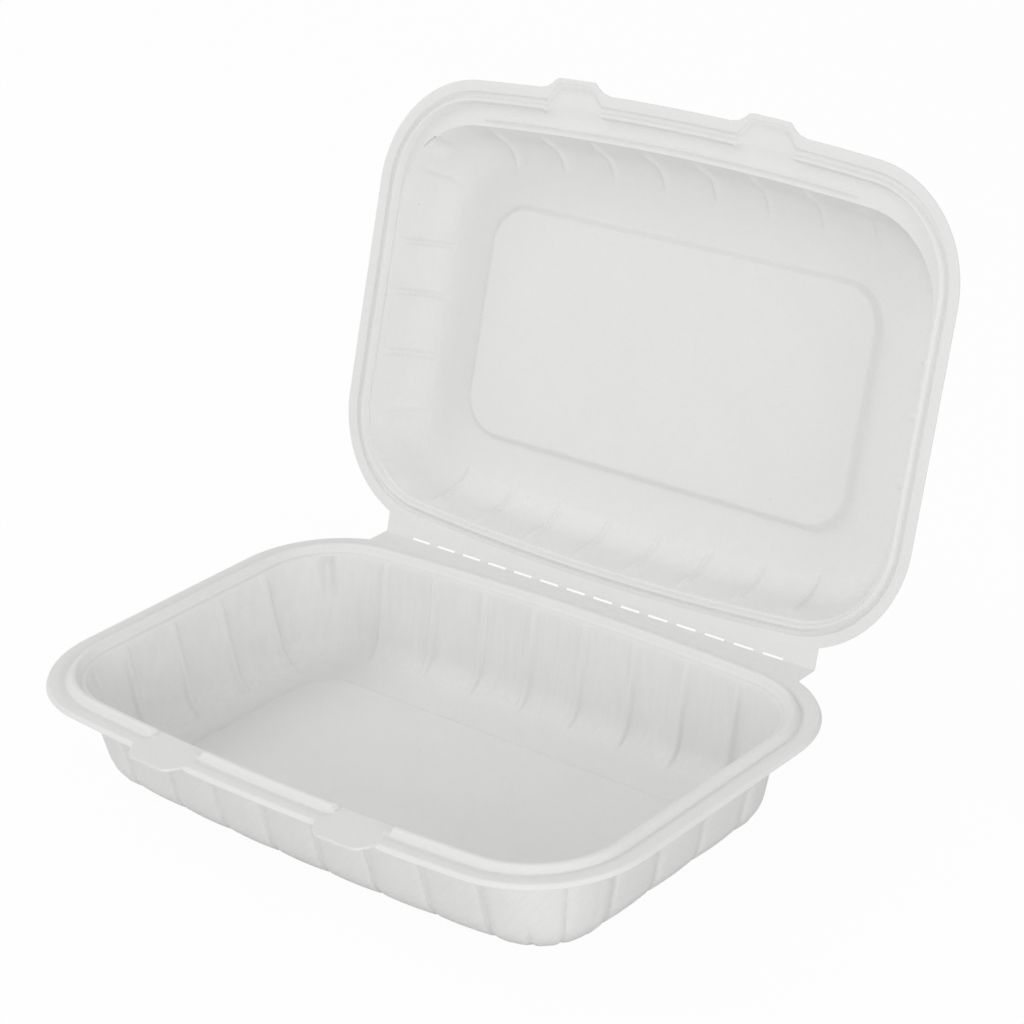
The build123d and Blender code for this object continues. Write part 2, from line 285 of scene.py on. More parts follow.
class ClamshellFinish(bpy.types.PropertyGroup):
    """Colour and surface of the plastic sheet."""

    colour: bpy.props.FloatVectorProperty(
        name="Colour",
        description="Off-white of the sheet",
        subtype="COLOR",
        size=3,
        default=(0.815, 0.815, 0.805),
    )
    shade: bpy.props.FloatVectorProperty(
        name="Shade",
        description="Faint darker clouding of the sheet",
        subtype="COLOR",
        size=3,
        default=(0.785, 0.787, 0.78),
    )
    roughness: bpy.props.FloatProperty(
        name="Roughness",
        description="Matt surface of the sheet",
        subtype="FACTOR",
        min=0.0,
        max=1.0,
        default=0.55,
    )


def read_sizes(context):
    """The sizes as plain numbers: lengths in millimetres and angles in degrees."""
    group = context.scene.clamshell_sizes
    values = {}
    for prop in ClamshellSizes.bl_rna.properties:
        if prop.identifier in GROUP_BASICS:
            continue
        value = getattr(group, prop.identifier)
        turned = prop.subtype == "ANGLE"
        values[prop.identifier] = round(math.degrees(value) if turned else value * MM, 4)
    return SimpleNamespace(**values)


# Plan of the rim

def plan(size):
    """Centres of the rim's arcs: corner x and y, distance to a long side's centre, end angle."""
    corner_x = size.length / 2 - size.corner
    far = size.bow - size.width / 2
    corner_y = math.sqrt((size.bow - size.corner) ** 2 - corner_x**2) - far
    end = math.atan2(corner_x, corner_y + far)
    return corner_x, corner_y, far, end


def station(size, x, y):
    """Where a point lies round the rim: part of the outline, place along it, and the way in."""
    corner_x, corner_y, far, end = plan(size)
    side_x = 1 if x > 0 else -1
    side_y = 1 if y > 0 else -1
    if abs(y) <= corner_y + 1e-6 and abs(x) > corner_x * 0.5:
        return "short", y, (-side_x, 0.0)
    turn = math.atan2(abs(x), abs(y) + far)
    if turn <= end + 1e-7:
        return "long", side_x * turn * size.bow, (-side_x * math.sin(turn), -side_y * math.cos(turn))
    angle = math.atan2(abs(y) - corner_y, abs(x) - corner_x)
    return "corner", math.degrees(angle), (-side_x * math.cos(angle), -side_y * math.sin(angle))


def from_tab(size, place):
    """Distance from the middle of the nearest tab or pocket along the front."""
    return abs(abs(place) - size.tab_spacing / 2)


# Sections

def along_arc(share, turn):
    """Share of a chord below a share of its arc."""
    return 0.5 + math.tan((share - 0.5) * turn) / (2 * math.tan(turn / 2))


def rounded(corners):
    """Section line through corners, each rounded over its own length: large ones as true arcs."""
    line = []
    for index, (inset, height, ease) in enumerate(corners):
        here = Vector((inset, height))
        if not ease or index in (0, len(corners) - 1):
            line.append(here)
            continue
        before = Vector(corners[index - 1][:2]) - here
        after = Vector(corners[index + 1][:2]) - here
        start = here + before.normalized() * min(ease, before.length * 0.48)
        stop = here + after.normalized() * min(ease, after.length * 0.48)
        large = ease > 3
        count = 12 if large else 5
        half = before.angle(after) / 2
        radius = (start - here).length * math.tan(half)
        middle = (before.normalized() + after.normalized()).normalized()
        centre = here + middle * (radius / math.sin(half))
        for step in range(count):
            t = step / (count - 1)
            if large:
                turn = math.pi - 2 * half
                spoke = (start - centre).lerp(stop - centre, along_arc(t, turn))
                line.append(centre + spoke.normalized() * radius)
            else:
                line.append(start * (1 - t) ** 2 + here * (2 * t * (1 - t)) + stop * t**2)
    return line


def divided(line, longest):
    """The line with its long runs divided."""
    points = [line[0]]
    for a, b in zip(line, line[1:]):
        parts = max(1, math.ceil((b - a).length / longest))
        points += [a.lerp(b, part / parts) for part in range(1, parts + 1)]
    return points


def spare_rows(start, floor, count):
    """Rows on the floor that are moved to the panel's edge once the shell is carried round."""
    return [Vector((start + PANEL_ROW_STEP * (index + 1), floor)) for index in range(count)]


def smooth_step(value):
    value = max(0.0, min(1.0, value))
    return value * value * (3 - 2 * value)


def along(value, places):
    """Value on a line through places of (position, value), level beyond its ends."""
    if value <= places[0][0]:
        return places[0][1]
    for (a, low), (b, high) in zip(places, places[1:]):
        if value <= b:
            return low + (high - low) * (value - a) / (b - a)
    return places[-1][1]


# Mesh work in edit mode

def deselect_all():
    if bpy.context.mode != "OBJECT":
        bpy.ops.object.mode_set(mode="OBJECT")
    bpy.ops.object.select_all(action="DESELECT")


def start_section(name, line, half_length):
    """A new object whose mesh is the section line, stood at the middle of the right side."""
    deselect_all()
    first = line[0]
    bpy.ops.mesh.primitive_plane_add(
        size=0.01, location=((half_length - first.x) / MM, 0.0, first.y / MM)
    )
    obj = bpy.context.object
    obj.name = name
    obj.data.name = name
    bpy.ops.object.transform_apply(location=True, rotation=True, scale=True)
    bpy.ops.object.mode_set(mode="EDIT")
    bpy.ops.mesh.select_all(action="SELECT")
    bpy.ops.mesh.merge(type="CENTER")
    for a, b in zip(line, line[1:]):
        step = (-(b.x - a.x) / MM, 0.0, (b.y - a.y) / MM)
        bpy.ops.mesh.extrude_vertices_move(TRANSFORM_OT_translate={"value": step})
    bpy.ops.object.mode_set(mode="OBJECT")
    layer = obj.data.attributes.new("row", "INT", "POINT")
    for row, vertex in enumerate(walk_order(obj.data)):
        layer.data[vertex].value = row
    return obj


def walk_order(mesh):
    """Vertices of an open line of edges, from its outer end."""
    links = {}
    for edge in mesh.edges:
        a, b = edge.vertices
        links.setdefault(a, []).append(b)
        links.setdefault(b, []).append(a)
    ends = [v for v, near in links.items() if len(near) == 1]
    start = max(ends, key=lambda v: mesh.vertices[v].co.x)
    order, last = [start], None
    while len(order) < len(mesh.vertices):
        step = [v for v in links[order[-1]] if v != last][0]
        last = order[-1]
        order.append(step)
    return order


def carry_round(size, half_short, long_runs):
    """Carries the selected section round the rim: straight along short sides, spun elsewhere."""
    corner_x, corner_y, far, end = plan(size)
    corner_turn = math.pi / 2 - end
    bpy.ops.object.mode_set(mode="EDIT")
    bpy.ops.mesh.select_all(action="SELECT")

    def straight(steps, way):
        for length in steps:
            move = (0.0, way * length / MM, 0.0)
            bpy.ops.mesh.extrude_region_move(TRANSFORM_OT_translate={"value": move})

    def spin(angle, steps, x, y):
        bpy.ops.mesh.spin(
            steps=steps,
            angle=SPIN_SIGN * angle,
            center=(x / MM, y / MM, 0.0),
            axis=(0.0, 0.0, 1.0),
        )

    straight(half_short, 1)
    for side_y, first in ((1, 1), (-1, -1)):
        if side_y < 0:
            straight(reversed(half_short), -1)
            straight(half_short, -1)
        spin(corner_turn, CORNER_STEPS, first * corner_x, side_y * corner_y)
        for angle, steps in long_runs:
            spin(angle, steps, 0.0, -side_y * far)
        spin(corner_turn, CORNER_STEPS, -first * corner_x, side_y * corner_y)
    straight(reversed(half_short), 1)
    bpy.ops.mesh.select_all(action="SELECT")
    bpy.ops.mesh.remove_doubles(threshold=MERGE_GAP)
    bpy.ops.object.mode_set(mode="OBJECT")


def places_of(size, count):
    """Places of a row of ribs about its middle."""
    return [(index - (count - 1) / 2) * size.rib_pitch for index in range(count)]


def marks(size, ribs, end, more=()):
    """Steps along a side between section lines: close at ribs and edges, wider on panels."""
    found = [-end, end, *more]
    for place in ribs:
        found += [place + size.rib_half * share for share in RIB_MARKS]
    found = sorted(mark for mark in found if -end <= mark <= end)
    kept = [found[0]]
    for mark in found[1:]:
        if mark - kept[-1] > CLOSEST_MARKS:
            kept.append(mark)
    kept[-1] = end
    steps = []
    for a, b in zip(kept, kept[1:]):
        parts = max(1, math.ceil((b - a) / WIDEST_MARKS))
        steps.append(((b - a) / parts, parts))
    return steps


def build_round(size, name, line, short_ribs, front_marks):
    """The section line carried all the way round the rim, as a clean open shell."""
    corner_y, end = plan(size)[1::2]
    obj = start_section(name, line, size.length / 2)
    total = 0.0
    half_short = []
    for step, parts in marks(size, places_of(size, short_ribs), corner_y):
        for _ in range(parts):
            total += step
            if total - corner_y > 1e-6:
                half_short.append(min(step, total - corner_y))
    tab = size.tab_spacing / 2
    edges = [side * tab + gap * way for side in (-1, 1) for way in (-1, 1) for gap in front_marks]
    long_steps = marks(size, places_of(size, LONG_RIBS), end * size.bow, edges)
    carry_round(size, half_short, [(step * parts / size.bow, parts) for step, parts in long_steps])
    return obj


def rows_of(obj):
    return [item.value for item in obj.data.attributes["row"].data]


def finish_shell(obj, sheet, floor_row, walls):
    """Closes the floor, gives the sheet its thickness to the outside and smooths the surface."""
    layer = obj.data.attributes.new("wall", "FLOAT", "POINT")
    layer.data.foreach_set("value", walls)
    deselect_all()
    obj.select_set(True)
    bpy.context.view_layer.objects.active = obj
    rows = rows_of(obj)
    open_faces = len(obj.data.polygons)
    bpy.ops.object.mode_set(mode="EDIT")
    bpy.ops.mesh.select_mode(type="VERT")
    bpy.ops.mesh.select_all(action="DESELECT")
    bpy.ops.object.mode_set(mode="OBJECT")
    for vertex, row in zip(obj.data.vertices, rows):
        vertex.select = row == floor_row
    bpy.ops.object.mode_set(mode="EDIT")
    bpy.ops.mesh.edge_face_add()
    bpy.ops.mesh.select_all(action="SELECT")
    bpy.ops.mesh.normals_make_consistent(inside=False)
    bpy.ops.object.mode_set(mode="OBJECT")
    if len(obj.data.polygons) <= open_faces:
        raise RuntimeError(f"the floor of {obj.name} was not closed")
    middle = max(obj.data.polygons, key=lambda face: face.area)
    if middle.normal.z < 0:
        bpy.ops.object.mode_set(mode="EDIT")
        bpy.ops.mesh.select_all(action="SELECT")
        bpy.ops.mesh.flip_normals()
        bpy.ops.object.mode_set(mode="OBJECT")
    wall = obj.modifiers.new("sheet", "SOLIDIFY")
    wall.thickness = sheet / MM
    wall.offset = -1.0
    wall.use_even_offset = False
    wall.use_quality_normals = True
    bpy.ops.object.modifier_apply(modifier="sheet")
    bpy.ops.object.shade_smooth_by_angle(angle=SMOOTH_ANGLE)


# Relief of the walls and rims

def rib_height(size, distance, flat=False):
    """Share of a rib's height from its middle: a narrow crest, or a flat top with steep flanks."""
    share = abs(distance) / size.rib_half
    if flat:
        return RIB_FLAT_SHARE * along(share, RIB_FLAT)
    return along(share, RIB_CREST)


def nearest(value, places):
    return min((abs(value - place), value - place) for place in places)[1]


def panel_share(size, value, places):
    """How far out a panel between two ribs bulges: one at its middle, zero at the ribs."""
    gap = nearest(value, places)
    half = size.rib_pitch / 2
    return max(0.0, 1.0 - (1.0 - min(abs(gap), half) / half) ** 2)


def faded(height, floor, span):
    """Share of the relief at a height on the wall."""
    start, below, above = span
    return smooth_step((-height - start) / below) * smooth_step((height - floor) / above)


def side_relief(size, place, ribs, down, low, flat=False):
    """How far in a point of a side's wall moves for its ribs and panels."""
    rib = size.rib_depth * down * rib_height(size, nearest(place, ribs), flat)
    return rib - size.bulge * low * panel_share(size, place, ribs)


def lug_relief(gap, height, foot, depth):
    """How far out a point of a corner moves for the stacking lug."""
    if gap >= 1 or height <= -foot:
        return 0.0
    return depth * smooth_step((height + foot) / LUG_EDGE) * math.sqrt(1 - gap * gap)


def tab_relief(size, place, inset, height):
    """Moves in and up of the tray's front rim: out to the tabs, with a gap in the bead there."""
    move, lift = 0.0, 0.0
    gap = from_tab(size, place)
    if gap < TAB_EDGE[-1][0] and inset < TAB_ROOT:
        reach = along(gap, TAB_EDGE)
        move += reach + (inset / TAB_ROOT) * (TAB_ROOT - reach) - inset
        lift += (LIP_TOP - height) * min(1.0, -reach / TAB_EASE)
    flat = along(gap, BEAD_GAP)
    if flat > 0 and inset > TAB_ROOT:
        if inset < BEAD_END:
            lift += (LIP_TOP - height) * flat
        start, stop = BEAD_FOOT
        if start < inset < stop:
            move += flat * min(1.0, (inset - start) / BEAD_FOOT_RUN) * BEAD_FOOT_SHIFT
    return move, lift


def pocket_relief(size, place, inset, height, share):
    """Moves in and up of the lid's front rim at a latch pocket; share runs from flange to shelf."""
    move, lift = 0.0, 0.0
    gap = from_tab(size, place)
    near = min(along(gap, POCKET_INNER), POCKET_FLANGE)
    if gap < POCKET_EDGE[-1][0] and inset < POCKET_ROOT:
        lip = along(gap, POCKET_EDGE)
        start = LID_RIM[0][0]
        move += lip + (near - lip) * (inset - start) / (POCKET_FLANGE - start) - inset
    depth = along(gap, POCKET_FADE)
    if depth > 0 and inset >= POCKET_ROOT:
        move += depth * (near + (LID_SHELF_START - near) * share - inset)
        lift += depth * (along(share, POCKET_SUNK) - height)
    return move, lift


def on_panel(size, kind, place, x, y, panel, outset):
    """Point on a rounded rectangle that answers to a station of the rim."""
    corner_y, end = plan(size)[1::2]
    length, width, radius = panel
    side_x = 1 if x > 0 else -1
    side_y = 1 if y > 0 else -1
    centre_x, centre_y = length / 2 - radius, width / 2 - radius
    reach = radius + outset
    if kind == "short":
        return side_x * (centre_x + reach), place / corner_y * centre_y
    if kind == "corner":
        angle = math.radians(place) * (math.pi / 2) / (math.pi / 2 - end)
        across = centre_x + reach * math.cos(angle)
        return side_x * across, side_y * (centre_y + reach * math.sin(angle))
    return place / (end * size.bow) * centre_x, side_y * (centre_y + reach)


class CLAMSHELL_OT_tray_shell(bpy.types.Operator):
    """Forms the ribbed tray with its rolled rim and front tabs"""

    bl_idname = "clamshell.tray_shell"
    bl_label = "Tray shell"

    def execute(self, context):
        size = read_sizes(context)
        floor = -size.depth + size.tray_sheet
        lean = math.tan(math.radians(size.tray_draft))
        ledge, ledge_height = TRAY_RIM[-1][:2]
        foot = ledge + ledge_height * lean - floor * lean
        foot_ease = size.tray_foot * math.tan(math.radians(90 - size.tray_draft) / 2)
        rim = rounded([*TRAY_RIM, (foot, floor, 0.0)])[:-1]
        wall = rounded(
            [
                (ledge, ledge_height, 0.0),
                (foot, floor, foot_ease),
                (foot + foot_ease + FLOOR_RUN, floor, 0.0),
            ]
        )
        wall = divided([rim[-1], wall[1]], TRAY_WALL_STEP)[1:] + wall[2:]
        panel = rounded(TRAY_PANEL_EDGE)
        wall_row = len(rim)
        panel_row = wall_row + len(wall)
        line = rim + wall + spare_rows(wall[-1].x, floor, len(panel))
        obj = build_round(size, "tray_shell", line, TRAY_SHORT_RIBS, TAB_MARKS)
        ribs = {"long": places_of(size, LONG_RIBS), "short": places_of(size, TRAY_SHORT_RIBS)}
        walls = []
        for vertex, row in zip(obj.data.vertices, rows_of(obj)):
            x, y = vertex.co.x * MM, vertex.co.y * MM
            kind, place, inward = station(size, x, y)
            inset, height = line[row]
            front = y < 0
            walls.append(1.0 if wall_row <= row < panel_row - PLAIN_FOOT_ROWS else 0.0)
            if row >= panel_row:
                edge = panel[row - panel_row]
                x, y = on_panel(size, kind, place, x, y, TRAY_PANEL, edge.x)
                vertex.co = Vector((x, y, size.depth + floor + edge.y)) / MM
                continue
            move, lift = 0.0, 0.0
            if row >= wall_row:
                down = faded(height, floor, TRAY_RIB_SPAN)
                arc = math.radians(1) * (size.corner - inset)
                if kind in ribs:
                    low = faded(height, floor, TRAY_BULGE_SPAN)
                    move += side_relief(size, place, ribs[kind], down, low, flat=True)
                elif front:
                    rib = rib_height(size, (place - TRAY_CORNER_RIB) * arc)
                    notch = rib_height(size, (place - TRAY_CORNER_NOTCH) * arc)
                    notch *= faded(height, floor, TRAY_NOTCH_SPAN)
                    move += size.rib_depth * (down * rib + notch)
                elif x < 0:
                    half = LUG_HALF + TRAY_LUG_TAPER * (height + TRAY_LUG_TOP)
                    gap = abs(place - LUG_TURN) * arc / half
                    move -= lug_relief(gap, height, TRAY_LUG_FOOT, TRAY_LUG_DEPTH)
            elif kind == "long" and front:
                move, lift = tab_relief(size, place, inset, height)
            elif kind == "long" and y > 0 and inset < LIP_INSET:
                lift = (LIP_TOP - height) * smooth_step((WEB_HALF - abs(place)) / WEB_EASE)
            x += inward[0] * move
            y += inward[1] * move
            vertex.co = Vector((x, y, size.depth + height + lift)) / MM
        finish_shell(obj, size.tray_sheet, len(line) - 1, walls)
        obj.data.materials.append(sheet_material("tray_finish", 0.0, 0.16))
        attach(obj, "tray")
        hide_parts("tray")
        return {"FINISHED"}


class CLAMSHELL_OT_lid_shell(bpy.types.Operator):
    """Forms the lid with its rim, front shelf and latch pockets, and turns it up to its open angle"""

    bl_idname = "clamshell.lid_shell"
    bl_label = "Lid shell"

    def execute(self, context):
        size = read_sizes(context)
        floor = -size.lid_depth + size.lid_sheet
        lean = math.tan(math.radians(size.lid_draft))
        foot = LID_SHELF_END - LID_SHELF_DROP * lean - floor * lean
        foot_ease = size.lid_foot * math.tan(math.radians(90 - size.lid_draft) / 2)
        shelf_end = (LID_SHELF_END, -LID_SHELF_DROP, 0.0)
        rim = rounded([*LID_RIM, shelf_end])[:-1]
        span = LID_SHELF_END - LID_SHELF_START
        shelf = [
            Vector((LID_SHELF_START + span * share, -LID_SHELF_DROP)) for share in LID_SHELF_SHARES
        ]
        wall = rounded(
            [shelf_end, (foot, floor, foot_ease), (foot + foot_ease + FLOOR_RUN, floor, 0.0)]
        )
        wall = divided(wall[:2], LID_WALL_STEP) + wall[2:]
        panel = rounded(LID_PANEL_EDGE)
        shelf_row = len(rim)
        wall_row = shelf_row + len(shelf)
        panel_row = wall_row + len(wall)
        flange_row = max(row for row, point in enumerate(rim) if point.x < POCKET_ROOT)
        line = rim + shelf + wall + spare_rows(wall[-1].x, floor, len(panel))
        obj = build_round(size, "lid_shell", line, LID_SHORT_RIBS, POCKET_MARKS)
        ribs = {"long": places_of(size, LONG_RIBS), "short": places_of(size, LID_SHORT_RIBS)}
        corner_y = plan(size)[1]
        walls = []
        for vertex, row in zip(obj.data.vertices, rows_of(obj)):
            x, y = vertex.co.x * MM, vertex.co.y * MM
            kind, place, inward = station(size, x, y)
            inset, height = line[row]
            front = y < 0
            walls.append(1.0 if wall_row <= row < panel_row - PLAIN_FOOT_ROWS else 0.0)
            if row >= panel_row:
                edge = panel[row - panel_row]
                x, y = on_panel(size, kind, place, x, y, LID_PANEL, edge.x)
                vertex.co = Vector((x, y + size.shelf / 2, size.depth + floor + edge.y)) / MM
                continue
            move, lift = 0.0, 0.0
            inner = max(0.0, min(1.0, (inset - LID_SHELF_START) / span))
            shift = size.shelf * inner * max(0.0, min(1.0, -y / corner_y))
            if row >= wall_row:
                down = faded(height, floor, LID_RIB_SPAN)
                if kind in ribs:
                    low = LID_BULGE_SHARE * faded(height, floor, LID_BULGE_SPAN)
                    move += side_relief(size, place, ribs[kind], down, low)
                else:
                    arc = math.radians(1) * (size.corner - inset)
                    turn = LID_FRONT_CORNER_RIB if front else LID_BACK_CORNER_RIB
                    move += size.rib_depth * down * rib_height(size, (place - turn) * arc)
                    if front and x > 0:
                        gap = abs(place - LUG_TURN) * arc / LUG_HALF
                        move -= lug_relief(gap, height, LID_LUG_FOOT, LID_LUG_DEPTH)
            elif kind == "long" and front:
                if row < shelf_row:
                    share = (row - flange_row) / (shelf_row - flange_row)
                    move, lift = pocket_relief(size, place, inset, height, share)
                else:
                    across = LID_SHELF_START + (span + size.shelf) * inner
                    rise = max(0.0, 1.0 - abs(across - SHELF_RIDGE_INSET) / SHELF_RIDGE_HALF)
                    ending = smooth_step((SHELF_RIDGE_END - abs(place)) / SHELF_RIDGE_EASE)
                    lift = SHELF_RIDGE_HEIGHT * rise * ending
            x += inward[0] * move
            y += inward[1] * move + shift
            vertex.co = Vector((x, y, size.depth + height + lift)) / MM
        finish_shell(obj, size.lid_sheet, len(line) - 1, walls)
        obj.data.materials.append(sheet_material("lid_finish", 1.0, 0.04))
        fold = Vector((0.0, size.width / 2 + size.fold_offset, size.depth + size.fold_height)) / MM
        flat = Matrix.Translation((0.0, 2 * fold.y, 0.0)) @ Matrix.Rotation(math.pi, 4, "Z")
        turn = Matrix.Rotation(math.radians(180 - size.open_angle), 4, "X")
        obj.matrix_world = Matrix.Translation(fold) @ turn @ Matrix.Translation(-fold) @ flat
        bpy.ops.object.transform_apply(location=True, rotation=True, scale=True)
        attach(obj, "lid")
        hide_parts("lid")
        return {"FINISHED"}


class CLAMSHELL_OT_fold_strip(bpy.types.Operator):
    """Lays the slotted strip that joins the two halves and bends it at the fold"""

    bl_idname = "clamshell.fold_strip"
    bl_label = "Fold strip"

    def execute(self, context):
        size = read_sizes(context)
        fold_y = size.width / 2 + size.fold_offset
        top = size.depth + STRIP_TOP
        deselect_all()
        bpy.ops.mesh.primitive_plane_add(size=1.0, location=(0.0, fold_y / MM, top / MM))
        obj = bpy.context.object
        obj.name = "fold_strip"
        obj.data.name = "fold_strip"
        obj.scale = (STRIP_LENGTH / MM, STRIP_WIDTH / MM, 1.0)
        bpy.ops.object.transform_apply(location=True, rotation=True, scale=True)
        bpy.ops.object.mode_set(mode="EDIT")
        slots = [(index - (SLOT_COUNT - 1) / 2) * SLOT_PITCH for index in range(SLOT_COUNT)]
        slot_ends = [slot + SLOT_HALF_LENGTH * way for slot in slots for way in (-1, 1)]
        cuts = [((0.0, fold_y + offset), (0.0, 1.0, 0.0)) for offset in STRIP_CUTS]
        cuts += [((place, 0.0), (1.0, 0.0, 0.0)) for place in slot_ends]
        for (x, y), normal in cuts:
            bpy.ops.mesh.select_all(action="SELECT")
            bpy.ops.mesh.bisect(plane_co=(x / MM, y / MM, 0.0), plane_no=normal)
        bpy.ops.mesh.select_mode(type="FACE")
        bpy.ops.mesh.select_all(action="DESELECT")
        bpy.ops.object.mode_set(mode="OBJECT")
        for face in obj.data.polygons:
            x, y = face.center.x * MM, face.center.y * MM
            in_slot = abs(nearest(x, slots)) < SLOT_HALF_LENGTH
            face.select = in_slot and abs(y - fold_y) < SLOT_HALF_WIDTH
        bpy.ops.object.mode_set(mode="EDIT")
        bpy.ops.mesh.delete(type="FACE")
        bpy.ops.object.mode_set(mode="OBJECT")
        corner_x, corner_y, far, end = plan(size)
        for vertex in obj.data.vertices:
            x, y = vertex.co.x * MM, vertex.co.y * MM - fold_y
            if abs(y) < STRIP_BORDER:
                continue
            if abs(x) < size.bow * math.sin(end):
                lip = math.sqrt(size.bow**2 - x * x) - far
            else:
                lip = corner_y + math.sqrt(size.corner**2 - (abs(x) - corner_x) ** 2)
            seat = fold_y - lip + (STRIP_OVER_TRAY if y < 0 else STRIP_OVER_LID)
            vertex.co.y = (fold_y + math.copysign(seat, y)) / MM
        wall = obj.modifiers.new("sheet", "SOLIDIFY")
        wall.thickness = STRIP_SHEET / MM
        wall.offset = -1.0
        bpy.ops.object.modifier_apply(modifier="sheet")
        bend = math.radians(180 - size.open_angle)
        pivot = Vector((0.0, fold_y, size.depth + size.fold_height)) / MM
        for vertex in obj.data.vertices:
            share = smooth_step((vertex.co.y * MM - fold_y + BEND_HALF) / (2 * BEND_HALF))
            turn = Matrix.Rotation(bend * share, 3, "X")
            vertex.co = pivot + turn @ (vertex.co - pivot)
        obj.data.materials.append(sheet_material("strip_finish", 0.0, 0.0))
        bpy.ops.object.shade_smooth_by_angle(angle=SMOOTH_ANGLE)
        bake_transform(obj)
        return {"FINISHED"}


# Finishes

def noise(nodes, links, place, scale, detail):
    """Share of a noise at a place."""
    node = nodes.new("ShaderNodeTexNoise")
    node.inputs["Scale"].default_value = scale
    node.inputs["Detail"].default_value = detail
    links.new(place, node.inputs["Vector"])
    return node.outputs["Fac"]


def spread(nodes, links, value, start, stop, low, high):
    """Value from start to stop, drawn out from low to high."""
    node = nodes.new("ShaderNodeMapRange")
    node.inputs["From Min"].default_value = start
    node.inputs["From Max"].default_value = stop
    node.inputs["To Min"].default_value = low
    node.inputs["To Max"].default_value = high
    links.new(value, node.inputs["Value"])
    return node.outputs["Result"]


def tinted(nodes, links, amount, base, colour):
    """The base colour with an amount of another colour mixed in."""
    node = nodes.new("ShaderNodeMix")
    node.data_type = "RGBA"
    node.inputs["B"].default_value = (*colour, 1.0)
    links.new(amount, node.inputs["Factor"])
    if hasattr(base, "is_linked"):
        links.new(base, node.inputs["A"])
    else:
        node.inputs["A"].default_value = (*base, 1.0)
    return node.outputs["Result"]


def calculated(nodes, links, operation, value, other):
    """A value worked out from another value and a number or a second value."""
    node = nodes.new("ShaderNodeMath")
    node.operation = operation
    links.new(value, node.inputs[0])
    if hasattr(other, "is_linked"):
        links.new(other, node.inputs[1])
    else:
        node.inputs[1].default_value = other
    return node.outputs["Value"]


def sheet_material(name, seed, streaks):
    """Matt mineral-filled plastic: grain, drawn streaks on the walls, faint clouds and specks."""
    look = bpy.context.scene.clamshell_finish
    mat = bpy.data.materials.new(name)
    mat.use_nodes = True
    nodes, links = mat.node_tree.nodes, mat.node_tree.links
    shader = nodes["Principled BSDF"]
    shader.inputs["Roughness"].default_value = look.roughness
    shader.inputs["Specular IOR Level"].default_value = 0.3
    place = nodes.new("ShaderNodeTexCoord")
    moved = nodes.new("ShaderNodeMapping")
    moved.inputs["Location"].default_value = (seed * 0.37, seed * 0.21, seed * 0.11)
    links.new(place.outputs["Object"], moved.inputs["Vector"])
    here = moved.outputs["Vector"]

    # Streaks run down the walls inside and aslant outside
    drawn = nodes.new("ShaderNodeMapping")
    drawn.inputs["Scale"].default_value = (900.0, 300.0, 45.0)
    links.new(place.outputs["Object"], drawn.inputs["Vector"])
    slant = nodes.new("ShaderNodeMapping")
    slant.vector_type = "TEXTURE"
    slant.inputs["Rotation"].default_value = (0.0, math.radians(-45.0), 0.0)
    slant.inputs["Scale"].default_value = (1 / 160, 1 / 300, 1 / 1400)
    links.new(place.outputs["Object"], slant.inputs["Vector"])
    level_place = nodes.new("ShaderNodeVectorMath")
    level_place.operation = "MULTIPLY"
    level_place.inputs[1].default_value = (1.0, 1.0, 0.0)
    links.new(place.outputs["Object"], level_place.inputs[0])
    facing = nodes.new("ShaderNodeVectorMath")
    facing.operation = "DOT_PRODUCT"
    links.new(place.outputs["Normal"], facing.inputs[0])
    links.new(level_place.outputs["Vector"], facing.inputs[1])
    outside = calculated(nodes, links, "GREATER_THAN", facing.outputs["Value"], 0.0)
    streak = nodes.new("ShaderNodeMix")
    links.new(outside, streak.inputs["Factor"])
    links.new(noise(nodes, links, drawn.outputs["Vector"], 1.0, 2.0), streak.inputs["A"])
    links.new(noise(nodes, links, slant.outputs["Vector"], 1.0, 2.0), streak.inputs["B"])
    streak = streak.outputs["Result"]
    wall = nodes.new("ShaderNodeAttribute")
    wall.attribute_name = "wall"

    # Colour: clouds, then streaks, grain and specks
    cloud = noise(nodes, links, here, 55.0, 4.0)
    colour = tinted(nodes, links, cloud, look.colour, look.shade)
    strength = spread(nodes, links, streak, 0.38, 0.68, 0.0, streaks)
    shown = calculated(nodes, links, "MULTIPLY", strength, wall.outputs["Fac"])
    colour = tinted(nodes, links, shown, colour, (0.66, 0.66, 0.65))
    grain = noise(nodes, links, here, 1500.0, 3.0)
    dust = spread(nodes, links, grain, 0.42, 0.72, 0.0, 0.16)
    colour = tinted(nodes, links, dust, colour, (0.68, 0.68, 0.67))
    speck = nodes.new("ShaderNodeTexVoronoi")
    speck.inputs["Scale"].default_value = 75.0
    links.new(here, speck.inputs["Vector"])
    dot = spread(nodes, links, speck.outputs["Distance"], 0.012, 0.03, 0.35, 0.0)
    colour = tinted(nodes, links, dot, colour, (0.30, 0.29, 0.27))
    links.new(colour, shader.inputs["Base Color"])

    # Bump: grain all over, and the streaks on the walls
    fine = nodes.new("ShaderNodeBump")
    fine.inputs["Strength"].default_value = 0.35
    fine.inputs["Distance"].default_value = 0.00025
    links.new(grain, fine.inputs["Height"])
    lines = nodes.new("ShaderNodeBump")
    lines.inputs["Distance"].default_value = 0.0004
    faint = calculated(nodes, links, "MULTIPLY", wall.outputs["Fac"], 0.25)
    links.new(faint, lines.inputs["Strength"])
    links.new(streak, lines.inputs["Height"])
    links.new(fine.outputs["Normal"], lines.inputs["Normal"])
    links.new(lines.outputs["Normal"], shader.inputs["Normal"])
    return mat


